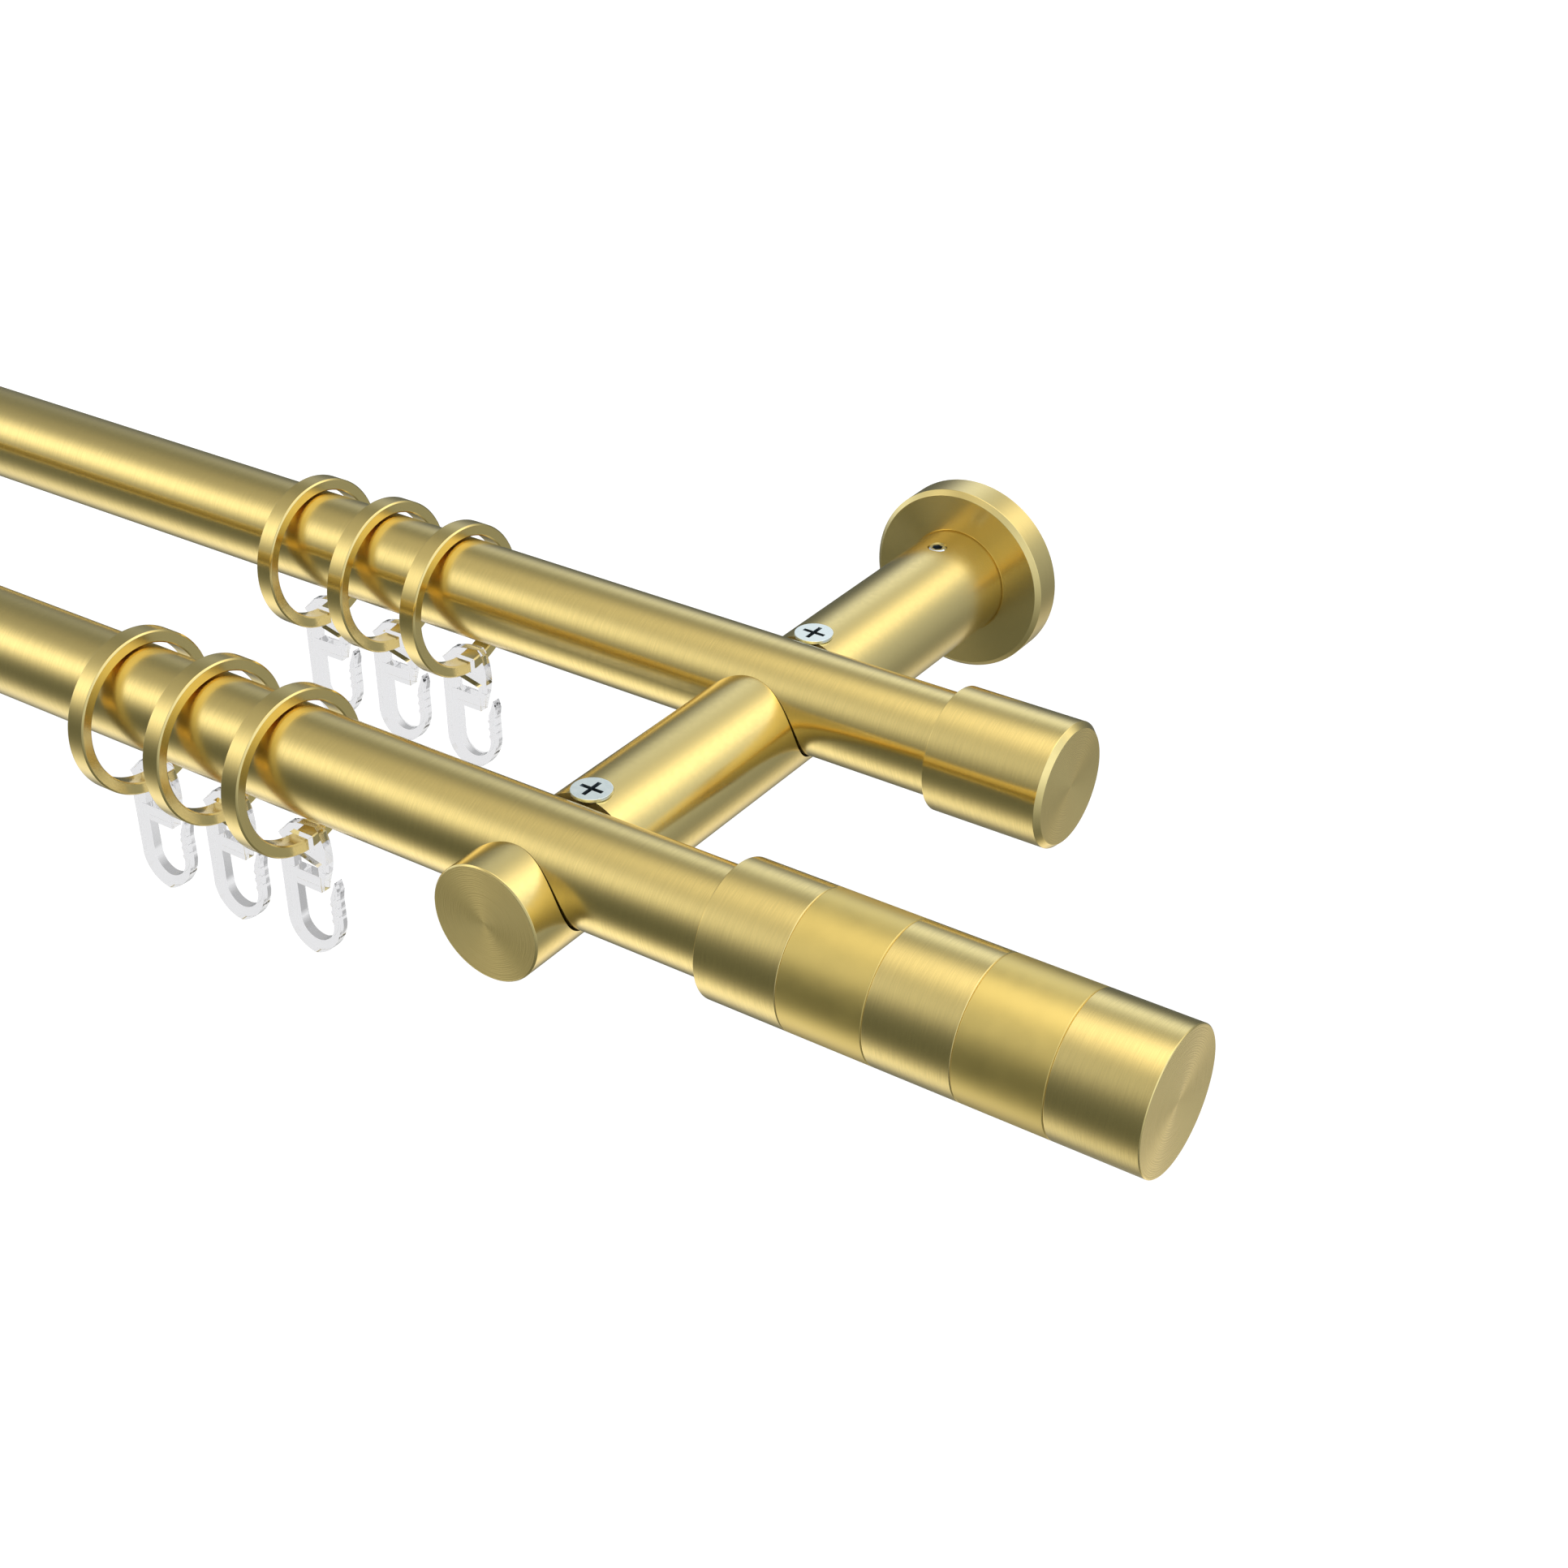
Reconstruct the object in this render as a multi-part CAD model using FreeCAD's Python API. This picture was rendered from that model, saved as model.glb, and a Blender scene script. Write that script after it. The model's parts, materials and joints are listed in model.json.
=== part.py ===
"""Two-run curtain rod: two wall brackets, two tubes, turned ends, sliding rings and pleat hooks.

Millimetres, +Z up. The origin is on the wall plane, midway between the brackets, at the
height of the bracket arms. +X runs along the tubes and +Y points into the wall.
"""
import math
import os

import FreeCAD
import Part

V = FreeCAD.Vector
X_AXIS = V(1, 0, 0)
Y_AXIS = V(0, 1, 0)
Z_AXIS = V(0, 0, 1)

# Tubes
rod_diameter = 20.0
rod_wall = 1.2
rod_reach_into_fitting = 20.0
rear_rod_to_wall = 75.0
rod_spacing = 70.0
rod_above_arm = 5.0

# Brackets
bracket_spacing = 1080.0
arm_diameter = 22.5
stub_length = 17.0
arm_end_chamfer = 0.3
saddle_clearance = 0.25
saddle_sink = 0.25
saddle_back_clearance = 0.5

# Wall plate with its boss, and the rosette that covers it
plate_thickness = 3.0
boss_diameter = 14.0
boss_length = 21.0
boss_chamfer = 1.0
wall_hole_diameter = 4.5
wall_sink_diameter = 8.4
rosette_diameter = 40.0
rosette_thickness = 7.0
rosette_chamfer = 1.0
rosette_face_wall = 2.0
rosette_side_wall = 2.95
rosette_arm_gap = 0.3
slip_clearance = 0.05

# Clamp screws, countersunk with a cross recess
clamp_wall = 0.5
clamp_head_diameter = 7.6
clamp_rim = 0.6
clamp_shank_diameter = 4.0
clamp_screw_length = 10.0
clamp_head_proud = 0.25
clamp_clearance = 0.1
cross_width = 0.8
cross_span = 4.0
cross_depth = 0.9

# Grub screws with a hexagon socket
arm_grub_diameter = 4.0
arm_grub_socket = 2.0
arm_grub_socket_depth = 2.0
arm_grub_to_wall = 15.5
fitting_grub_diameter = 3.0
fitting_grub_socket = 1.5
fitting_grub_socket_depth = 1.2
fitting_grub_from_mouth = 12.0
grub_clearance = 0.05
grub_recess = 0.1

# Rod ends
fitting_to_bracket = 40.0
fitting_clearance = 0.05
cap_wall = 1.95
cap_length = 24.0
cap_chamfer = 1.0
cap_mouth_chamfer = 0.4
finial_core_wall = 1.15
finial_band_wall = 1.25
finial_band_length = 16.0
finial_band_count = 5
finial_end_wall = 3.0
finial_end_chamfer = 0.3
finial_joint_chamfer = 0.15

# Rings
ring_bore = 28.0
ring_wall = 2.5
ring_width = 4.2
ring_chamfer = 0.3
ring_rest_gap = 0.3
ring_pitch = 20.0
ring_count = 3
front_ring_to_bracket = 60.0
rear_ring_to_bracket = 80.0

# Pleat hooks, a flat moulding that clips round the lowest part of a ring
hook_thickness = 2.0
hook_ring_clearance = 0.3
hook_side_clearance = 0.3
hook_snap_gap = 0.9
hook_roof_rise = 3.4
hook_crown_rise = 0.35
hook_beak_reach = 5.4
hook_beak_heel = 4.5
hook_beak_height = 1.2
hook_top_reach = 4.6
hook_shoulder = 0.65
hook_body_reach = 6.4
hook_waist_reach = 5.6
hook_left = 5.7
hook_stroke = 3.6
hook_lip_corner = 0.8
hook_right = 8.15
hook_short_stroke = 1.75
hook_drop = 23.5
hook_base = 3.6
hook_turn_rise = 7.2
hook_bar_drop = 8.15
hook_bar_height = 3.5
hook_bar_reach = 4.5
hook_bar_proud = 0.15
hook_bar_lap = 1.3
hook_sill = 1.1
hook_sill_slope = 1.5
hook_window_reach = 4.1
hook_tip_drop = 4.7
hook_tip_height = 4.0
hook_tip_flare = 0.35
hook_rib_count = 3
hook_rib_height = 0.3
hook_rib_pitch = 1.9

# Worked out from the values above
rod_radius = rod_diameter / 2
fitting_bore_radius = rod_radius + fitting_clearance
cap_radius = fitting_bore_radius + cap_wall
finial_core_radius = fitting_bore_radius + finial_core_wall
finial_radius = finial_core_radius + fitting_clearance + finial_band_wall
plate_diameter = rosette_diameter - 2 * (rosette_side_wall + slip_clearance)
wall_hole_spacing = (plate_diameter + boss_diameter) / 2
arm_radius = arm_diameter / 2
boss_radius = boss_diameter / 2
rear_rod_y = -rear_rod_to_wall
front_rod_y = rear_rod_y - rod_spacing
arm_front_y = front_rod_y - stub_length
arm_back_y = -plate_thickness - slip_clearance
bracket_x = bracket_spacing / 2
mouth_x = bracket_x + fitting_to_bracket
rod_end_x = mouth_x + rod_reach_into_fitting
fitting_depth = rod_reach_into_fitting + fitting_clearance
ring_inner = ring_bore / 2
ring_outer = ring_inner + ring_wall
ring_centre_z = rod_above_arm + rod_radius + ring_rest_gap - ring_inner
RODS = {"front": front_rod_y, "rear": rear_rod_y}
FIRST_RING = {"front": front_ring_to_bracket, "rear": rear_ring_to_bracket}
SIDES = {"right": 1, "left": -1}


def cylinder(radius, length, base, axis):
    return Part.makeCylinder(radius, length, base, axis)


def cone(radius_1, radius_2, length, base, axis):
    return Part.makeCone(radius_1, radius_2, length, base, axis)


def turned(profile, base, axis_name):
    """Revolve (distance along the axis, radius) points about an X or Y line through base."""
    if axis_name == "x":
        points = [base + V(a, 0, r) for a, r in profile]
        axis = X_AXIS
    else:
        points = [base + V(0, a, r) for a, r in profile]
        axis = Y_AXIS
    face = Part.Face(Part.makePolygon(points + [points[0]]))
    return face.revolve(base, axis, 360)


def hexagon_prism(across_flats, depth, top, inward):
    """The space of a hexagon socket, from its top centre along the inward direction."""
    radius = across_flats / math.sqrt(3)
    points = [top + FreeCAD.Rotation(inward, 60 * k).multVec(X_AXIS * radius) for k in range(7)]
    return Part.Face(Part.makePolygon(points)).extrude(inward * depth)


def placed_at_end(shape, rod_y, side):
    """Turn a right-hand piece end for end about the rod's middle to make the left-hand one."""
    if side < 0:
        shape = shape.copy()
        shape.rotate(V(0, rod_y, 0), Z_AXIS, 180)
    return shape


def rod(rod_y):
    start = V(-rod_end_x, rod_y, rod_above_arm)
    outside = cylinder(rod_radius, 2 * rod_end_x, start, X_AXIS)
    inside = cylinder(rod_radius - rod_wall, 2 * rod_end_x, start, X_AXIS)
    return outside.cut(inside)


def wall_plate(x):
    disc = cylinder(plate_diameter / 2, plate_thickness, V(x, 0, 0), -Y_AXIS)
    boss_end = -plate_thickness - boss_length
    boss = turned(
        [
            (0, 0),
            (0, boss_radius),
            (boss_end + boss_chamfer, boss_radius),
            (boss_end, boss_radius - boss_chamfer),
            (boss_end, 0),
        ],
        V(x, 0, 0),
        "y",
    )
    plate = disc.fuse(boss).removeSplitter()
    shank = wall_hole_diameter / 2
    head = wall_sink_diameter / 2
    for z in (-wall_hole_spacing / 2, wall_hole_spacing / 2):
        through = cylinder(shank, plate_thickness, V(x, 0, z), -Y_AXIS)
        sink = cone(shank, head, head - shank, V(x, -plate_thickness + head - shank, z), -Y_AXIS)
        plate = plate.cut([through, sink])
    return plate


def rosette(x):
    outer = rosette_diameter / 2
    recess = plate_diameter / 2 + slip_clearance
    hole = arm_radius + rosette_arm_gap
    recess_y = -(rosette_thickness - rosette_face_wall)
    return turned(
        [
            (0, recess),
            (0, outer),
            (-rosette_thickness + rosette_chamfer, outer),
            (-rosette_thickness, outer - rosette_chamfer),
            (-rosette_thickness, hole),
            (recess_y, hole),
            (recess_y, recess),
        ],
        V(x, 0, 0),
        "y",
    )


def saddle_space(x, rod_y):
    """Space for one rod, open straight up behind it.

    The bore lies a little lower than the rod, so the gap is narrow at the upper lip and wide below.
    """
    bore = rod_radius + saddle_clearance
    back = rod_radius + saddle_back_clearance
    corners = [V(0, bore, 0), V(0, back, 0), V(0, back, arm_diameter), V(0, 0, arm_diameter), V(0, 0, bore)]
    low_front = V(0, -bore, -bore) / math.sqrt(2)
    edges = [Part.LineSegment(a, b).toShape() for a, b in zip(corners, corners[1:])]
    edges.append(Part.Arc(corners[-1], low_front, corners[0]).toShape())
    space = Part.Face(Part.Wire(edges)).extrude(X_AXIS * (2 * arm_diameter))
    space.translate(V(x - arm_diameter, rod_y, rod_above_arm - saddle_sink))
    return space


def clamp_head_top():
    return arm_radius + clamp_head_proud


def clamp_screw_y(rod_y):
    saddle_back = rod_y + rod_radius + saddle_back_clearance
    return saddle_back + clamp_wall + clamp_shank_diameter / 2 + grub_clearance


def clamp_cone_height():
    return (clamp_head_diameter - clamp_shank_diameter) / 2


def clamp_hole(x, rod_y):
    """Countersunk hole for a clamp screw, open upwards."""
    y = clamp_screw_y(rod_y)
    head = clamp_head_diameter / 2 + clamp_clearance
    shank = clamp_shank_diameter / 2 + grub_clearance
    rim_z = clamp_head_top() - clamp_rim
    cone_z = rim_z - (head - shank)
    below = cylinder(shank, clamp_screw_length, V(x, y, clamp_head_top() - clamp_screw_length), Z_AXIS)
    sink = cone(shank, head, head - shank, V(x, y, cone_z), Z_AXIS)
    above = cylinder(head, arm_radius, V(x, y, rim_z), Z_AXIS)
    return below.fuse([sink, above])


def arm(x):
    length = arm_back_y - arm_front_y
    body = turned(
        [
            (0, 0),
            (0, arm_radius - arm_end_chamfer),
            (arm_end_chamfer, arm_radius),
            (length, arm_radius),
            (length, 0),
        ],
        V(x, arm_front_y, 0),
        "y",
    )
    boss_hole = cylinder(boss_radius + slip_clearance, boss_length + 1, V(x, arm_back_y, 0), -Y_AXIS)
    grub_hole = cylinder(
        arm_grub_diameter / 2 + grub_clearance, arm_radius, V(x, -arm_grub_to_wall, boss_radius), Z_AXIS
    )
    spaces = [boss_hole, grub_hole]
    for rod_y in RODS.values():
        spaces.append(saddle_space(x, rod_y))
        spaces.append(clamp_hole(x, rod_y))
    for space in spaces:
        body = body.cut(space)
    return body


def arm_grub(x):
    """Grub screw that locks the arm on the boss of its wall plate."""
    tip = V(x, -arm_grub_to_wall, boss_radius + grub_clearance)
    top = V(x, -arm_grub_to_wall, arm_radius - grub_recess)
    return grub_screw(arm_grub_diameter, arm_grub_socket, arm_grub_socket_depth, tip, top)


def clamp_screw(x, rod_y):
    y = clamp_screw_y(rod_y)
    top = clamp_head_top()
    head = clamp_head_diameter / 2
    shank = clamp_shank_diameter / 2
    rim = cylinder(head, clamp_rim, V(x, y, top - clamp_rim), Z_AXIS)
    taper = cone(shank, head, clamp_cone_height(), V(x, y, top - clamp_rim - clamp_cone_height()), Z_AXIS)
    stem = cylinder(shank, clamp_screw_length, V(x, y, top - clamp_screw_length), Z_AXIS)
    screw = rim.fuse([taper, stem]).removeSplitter()
    for turn in (0, 90):
        corner = V(x - cross_span / 2, y - cross_width / 2, top - cross_depth)
        slot = Part.makeBox(cross_span, cross_width, cross_depth, corner)
        slot.rotate(V(x, y, 0), Z_AXIS, turn)
        screw = screw.cut(slot)
    return screw


def grub_screw(diameter, socket, socket_depth, tip, top):
    """Grub screw between two points, with its socket at the top one."""
    length = (top - tip).Length
    outward = (top - tip) / length
    body = cylinder(diameter / 2, length, tip, outward)
    return body.cut(hexagon_prism(socket, socket_depth, top, -outward))


def fitting_hole(rod_y, outer_radius):
    """Radial hole for the grub screw on the hidden under side of a rod end."""
    return cylinder(
        fitting_grub_diameter / 2 + grub_clearance,
        outer_radius,
        V(mouth_x + fitting_grub_from_mouth, rod_y, rod_above_arm),
        -Z_AXIS,
    )


def end_cap(rod_y):
    bore = fitting_bore_radius
    outer = cap_radius
    cap = turned(
        [
            (0, bore + cap_mouth_chamfer),
            (0, outer),
            (cap_length - cap_chamfer, outer),
            (cap_length, outer - cap_chamfer),
            (cap_length, 0),
            (fitting_depth, 0),
            (fitting_depth, bore),
            (cap_mouth_chamfer, bore),
        ],
        V(mouth_x, rod_y, rod_above_arm),
        "x",
    )
    return cap.cut(fitting_hole(rod_y, outer))


def finial_core(rod_y):
    bore = fitting_bore_radius
    outer = finial_core_radius
    length = finial_band_length * finial_band_count - finial_end_wall - fitting_clearance
    core = turned(
        [(0, bore), (0, outer), (length, outer), (length, 0), (fitting_depth, 0), (fitting_depth, bore)],
        V(mouth_x, rod_y, rod_above_arm),
        "x",
    )
    return core.cut(fitting_hole(rod_y, outer))


def finial_band(rod_y, number):
    """One band of the finial; the last one is closed by the turned end face."""
    start = finial_band_length * (number - 1)
    outer = finial_radius
    bore = finial_core_radius + fitting_clearance
    joint = finial_joint_chamfer
    last = number == finial_band_count
    end_cut = finial_end_chamfer if last else joint
    profile = [
        (0, bore),
        (0, outer - joint),
        (joint, outer),
        (finial_band_length - end_cut, outer),
        (finial_band_length, outer - end_cut),
    ]
    if last:
        depth = finial_band_length - finial_end_wall
        profile += [(finial_band_length, 0), (depth, 0), (depth, bore)]
    else:
        profile += [(finial_band_length, bore)]
    band = turned(profile, V(mouth_x + start, rod_y, rod_above_arm), "x")
    if number == 1:
        band = band.cut(fitting_hole(rod_y, outer))
    return band


def fitting_grub(rod_y, outer_radius):
    centre = V(mouth_x + fitting_grub_from_mouth, rod_y, rod_above_arm)
    return grub_screw(
        fitting_grub_diameter,
        fitting_grub_socket,
        fitting_grub_socket_depth,
        centre - Z_AXIS * (rod_radius + grub_clearance),
        centre - Z_AXIS * (outer_radius - grub_recess),
    )


def ring(x, rod_y):
    half = ring_width / 2
    edge = ring_chamfer
    return turned(
        [
            (-half, ring_inner + edge),
            (-half, ring_outer - edge),
            (-half + edge, ring_outer),
            (half - edge, ring_outer),
            (half, ring_outer - edge),
            (half, ring_inner + edge),
            (half - edge, ring_inner),
            (-half + edge, ring_inner),
        ],
        V(x, rod_y, ring_centre_z),
        "x",
    )


def outline(start, steps):
    """A closed face in the XZ plane; a step is (end,) for a line or (middle, end) for an arc."""
    edges = []
    here = start
    for step in steps:
        end = step[-1]
        points = [V(x, 0, z) for x, z in (here,) + step]
        if len(step) == 1:
            edges.append(Part.LineSegment(*points).toShape())
        else:
            edges.append(Part.Arc(*points).toShape())
        here = end
    return Part.Face(Part.Wire(edges))


def arc(start, corner, end, fullness):
    """Step from start to end whose arc leans towards the corner."""
    half = [(start[k] + end[k]) / 2 for k in (0, 1)]
    return (tuple(half[k] + (corner[k] - half[k]) * fullness for k in (0, 1)), end)


def slab(face, thickness):
    solid = face.extrude(Y_AXIS * thickness)
    solid.translate(Y_AXIS * (-thickness / 2))
    return solid


def hook_levels():
    """Heights below the ring's centre: the clip's roof and sill round the ring's lowest part."""
    return hook_ring_clearance - ring_inner, -ring_outer - hook_ring_clearance


def hook_upper_edge():
    """From the long stroke's lip round the clip slot, over the crown and down to the cross bar."""
    roof, sill = hook_levels()
    half = ring_width / 2 + hook_side_clearance
    beak_low = sill + hook_snap_gap
    beak_tip = (-hook_beak_reach, beak_low + hook_beak_height)
    crown_start = (-half, beak_tip[1] + hook_beak_reach - half)
    crown_end = (hook_top_reach, roof + hook_roof_rise)
    shoulder = (hook_top_reach + hook_shoulder, crown_end[1] - hook_shoulder)
    waist = (hook_waist_reach, sill - (hook_bar_drop - hook_bar_height))
    body = (hook_body_reach, (roof + sill) / 2)
    crown = (crown_start[0] / 2 + crown_end[0] / 2, crown_end[1] / 2 + crown_start[1] / 2 + hook_crown_rise)
    return [
        ((-hook_left + hook_lip_corner, sill),),
        ((half, sill),),
        ((half, roof),),
        ((-half, roof),),
        ((-half, beak_low),),
        ((-hook_beak_heel, beak_low),),
        (beak_tip,),
        (crown_start,),
        (crown, crown_end),
        (shoulder,),
        (body, waist),
        ((hook_bar_reach, sill - hook_bar_drop),),
        ((-hook_left + hook_stroke, sill - hook_bar_drop),),
    ]


def hook_short_stroke_edge(foot):
    """Up the ribbed inner side of the short stroke, over its pointed tip and down outside."""
    roof, sill = hook_levels()
    inner = hook_right - hook_short_stroke
    apex = (hook_right - hook_tip_flare / 2, sill - hook_tip_drop)
    tip_foot = apex[1] - hook_tip_height
    steps = []
    for k in reversed(range(hook_rib_count)):
        z = tip_foot - (k + 1) * hook_rib_pitch
        crest = (inner - hook_rib_height, z + hook_rib_pitch / 4)
        steps += [((inner, z),), (crest, (inner, z + hook_rib_pitch / 2))]
    steps += [
        ((inner, tip_foot),),
        (apex,),
        ((hook_right + hook_tip_flare, apex[1] - hook_tip_height / 2),),
        ((hook_right, tip_foot),),
        (foot,),
    ]
    return steps


def hook_outline():
    roof, sill = hook_levels()
    bottom = sill - hook_drop
    base_top = bottom + hook_base
    turn = bottom + hook_turn_rise
    inner_left = -hook_left + hook_stroke
    inner_right = hook_right - hook_short_stroke
    start = (-hook_left, turn)
    lowest = ((hook_right - hook_left) / 2 - hook_short_stroke / 3, bottom)
    inner_turn = (inner_left, turn)
    inner_lowest = ((inner_left + inner_right) / 2, base_top)
    inner_foot = (inner_right, turn + hook_stroke / 2)
    foot = (hook_right, turn + hook_stroke / 2)
    steps = [((-hook_left, sill - hook_lip_corner),)]
    steps += hook_upper_edge()
    steps += [
        (inner_turn,),
        arc(inner_turn, (inner_left, base_top), inner_lowest, 0.45),
        arc(inner_lowest, (inner_right, base_top), inner_foot, 0.4),
    ]
    steps += hook_short_stroke_edge(foot)
    steps += [
        arc(foot, (hook_right, bottom), lowest, 0.3),
        arc(lowest, (-hook_left, bottom), start, 0.42),
    ]
    return outline(start, steps)


def hook_window():
    """Open window between the sill and the cross bar."""
    sill = hook_levels()[1]
    left = -hook_left + hook_stroke
    right = hook_window_reach
    top = sill - hook_sill
    bottom = sill - hook_bar_drop + hook_bar_height
    corners = [(left, bottom), (left, top), (right, top - hook_sill_slope), (right, bottom)]
    return outline(corners[0], [(corner,) for corner in corners[1:] + corners[:1]])


def hook_bar():
    """Cross bar, a little thicker than the strokes and lapped over the long one."""
    sill = hook_levels()[1]
    start = -hook_left + hook_stroke - hook_bar_lap
    thickness = hook_thickness + 2 * hook_bar_proud
    corner = V(start, -thickness / 2, sill - hook_bar_drop)
    return Part.makeBox(hook_bar_reach - start, thickness, hook_bar_height, corner)


def hook(x, rod_y):
    plate = slab(hook_outline(), hook_thickness)
    window = slab(hook_window(), hook_thickness)
    body = plate.cut(window).fuse(hook_bar()).removeSplitter()
    body.translate(V(x, rod_y, ring_centre_z))
    return body


def bracket(name, x):
    pieces = {
        name + "_wall_plate": wall_plate(x),
        name + "_rosette": rosette(x),
        name + "_bracket_arm": arm(x),
        name + "_arm_grub_screw": arm_grub(x),
    }
    for run, rod_y in RODS.items():
        pieces[name + "_" + run + "_clamp_screw"] = clamp_screw(x, rod_y)
    return pieces


def rod_ends(name, side):
    front = RODS["front"]
    rear = RODS["rear"]
    pieces = {
        name + "_finial_core": finial_core(front),
        name + "_finial_grub_screw": fitting_grub(front, finial_radius),
        name + "_end_cap": end_cap(rear),
        name + "_end_cap_grub_screw": fitting_grub(rear, cap_radius),
    }
    for number in range(1, finial_band_count + 1):
        pieces[name + "_finial_band_" + str(number)] = finial_band(front, number)
    placed = {}
    for node, shape in pieces.items():
        rod_y = rear if "end_cap" in node else front
        placed[node] = placed_at_end(shape, rod_y, side)
    return placed


def rings_and_hooks(name, side):
    pieces = {}
    for run, rod_y in RODS.items():
        for number in range(1, ring_count + 1):
            x = bracket_x - FIRST_RING[run] - (number - 1) * ring_pitch
            label = name + "_" + run
            pieces[label + "_ring_" + str(number)] = placed_at_end(ring(x, rod_y), rod_y, side)
            pieces[label + "_hook_" + str(number)] = placed_at_end(hook(x, rod_y), rod_y, side)
    return pieces


def build():
    nodes = {run + "_rod": rod(rod_y) for run, rod_y in RODS.items()}
    for name, side in SIDES.items():
        nodes.update(bracket(name, side * bracket_x))
        nodes.update(rod_ends(name, side))
        nodes.update(rings_and_hooks(name, side))
    return nodes


os.makedirs("parts", exist_ok=True)
for node, shape in build().items():
    if len(shape.Solids) != 1 or not shape.isValid():
        raise RuntimeError(node + " is not one valid solid")
    shape.Solids[0].exportStep("parts/" + node + ".step")
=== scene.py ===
"""Looks of the double curtain rod: brushed and satin brass, zinc screws, clear hooks, studio light.

Metres, in the same frame as the solids: +X along the rods, +Y into the wall, +Z up.
"""
import json
import math

import bmesh
import bpy
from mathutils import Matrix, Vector

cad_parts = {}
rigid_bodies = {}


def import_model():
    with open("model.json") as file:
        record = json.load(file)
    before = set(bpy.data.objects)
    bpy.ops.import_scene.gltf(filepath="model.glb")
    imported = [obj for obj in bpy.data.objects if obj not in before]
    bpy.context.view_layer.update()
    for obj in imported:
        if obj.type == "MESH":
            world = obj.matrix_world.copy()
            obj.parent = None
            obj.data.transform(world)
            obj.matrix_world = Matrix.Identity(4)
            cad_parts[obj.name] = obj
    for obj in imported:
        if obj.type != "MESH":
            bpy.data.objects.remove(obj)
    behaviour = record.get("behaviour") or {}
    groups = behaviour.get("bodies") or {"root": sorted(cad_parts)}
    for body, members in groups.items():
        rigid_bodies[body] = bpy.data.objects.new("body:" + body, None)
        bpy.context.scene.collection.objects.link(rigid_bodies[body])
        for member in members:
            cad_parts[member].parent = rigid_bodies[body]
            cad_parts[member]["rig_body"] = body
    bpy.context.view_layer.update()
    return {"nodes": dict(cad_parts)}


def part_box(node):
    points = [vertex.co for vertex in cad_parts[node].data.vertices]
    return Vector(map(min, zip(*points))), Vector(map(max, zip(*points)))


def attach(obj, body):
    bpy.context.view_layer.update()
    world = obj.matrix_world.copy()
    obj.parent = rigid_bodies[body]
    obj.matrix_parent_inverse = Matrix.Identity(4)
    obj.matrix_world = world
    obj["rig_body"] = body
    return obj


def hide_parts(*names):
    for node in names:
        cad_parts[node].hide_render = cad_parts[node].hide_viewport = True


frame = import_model()
nodes = frame["nodes"]

# Places on the object
ROD_Z = 0.005
ROD_Y = {"front": -0.145, "rear": -0.075}
RING_Z = 0.0013
BRACKET_X = 0.54
SIDES = {"right": 1.0, "left": -1.0}
RING_NUMBERS = (1, 2, 3)

# Directions: along the rods, up, and out of the wall
X_WAY = Vector((1.0, 0.0, 0.0))
Z_WAY = Vector((0.0, 0.0, 1.0))
OUT_WAY = Vector((0.0, -1.0, 0.0))

# Sizes of the pieces that their boxes in the frame don't give
ROD_WALL = 0.0012
RING_WALL = 0.0025
RING_EDGE = 0.0003
BAND_COUNT = 5
BAND_WALL = 0.00125
BAND_JOINT_EDGE = 0.00015
BAND_END_EDGE = 0.00015
BAND_END_WALL = 0.003
CAP_WALL = 0.00195
CAP_DEPTH = 0.02005
CAP_EDGE = 0.001
CAP_MOUTH_EDGE = 0.0004
ROSETTE_EDGE = 0.001
ROSETTE_FACE_WALL = 0.002
ROSETTE_SIDE_WALL = 0.00295
ROSETTE_ARM_GAP = 0.0003
LIP_CLEARANCE = 0.00002
LIP_FALL = 0.0001
ARM_EDGE = 0.0003
ARM_BORE = 0.00705
ARM_BORE_DEPTH = 0.022
SADDLE_CLEARANCE = 0.00025
SADDLE_BACK_CLEARANCE = 0.0005
SCREW_SHANK = 0.002
SCREW_RIM = 0.0006
SCREW_CLEARANCE = 0.0001
CROSS_SPAN = 0.0049
CROSS_WIDTH = 0.0009
CROSS_DEPTH = 0.0016
CROSS_FOOT = 0.6
GRUB_CLEARANCE = 0.00005
GRUB_EDGE = 0.0004
ARM_SOCKET = 0.002
ARM_SOCKET_DEPTH = 0.002
END_SOCKET = 0.0015
END_SOCKET_DEPTH = 0.0012
HOOK_EDGE = 0.00006

# Fineness of the pieces
SEGMENTS = 192
SOFTNESS = 0.00006
CURVE_STEPS = (0.0, 0.25, 0.5, 0.75, 1.0)
SHARP_ANGLE = math.radians(28.0)
FLAT_ANGLE = math.radians(1.0)
FACE_LIMIT = 0.9
HOOK_EDGE_STEPS = 3
WELD = 1e-8
CAD_WELD = 1e-7

# How far the cutting tools run past the surface that they open
OPENING = 0.001
SOCKET_OPENING = 0.0001

# Metals: linear colours, and the marks that brushing and turning leave
BRASS = (0.82, 0.635, 0.24)
SATIN = (0.81, 0.61, 0.19)
# Darker brass painted on the saddles' cut faces: painted shade in the narrow gap round each rod
PAINTED_SADDLE_SHADE = (0.36, 0.3, 0.15)
ZINC = (0.95, 0.99, 0.87)
# Dark colour painted on the faces of the screws' cross and hexagon sockets: painted shade inside them
PAINTED_RECESS_SHADE = (0.13, 0.16, 0.17)
STEEL = (0.74, 0.76, 0.77)
NOISE_SPAN = (0.3, 0.7)
ROUGHNESS_SPREAD = 0.02
BRUSHED_ROUGHNESS = 0.21
BRUSHED_ANISOTROPY = 0.55
FACE_ANISOTROPY = 0.9
LINE_WIDTH = 0.0002
LINE_RUN = 0.004
LINE_DEPTH = 0.00002
FINE_SHARE = 0.85
FACE_PITCH = 0.00037
FACE_RINGS = 0.9
FACE_DRIFT = 3.0

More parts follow.
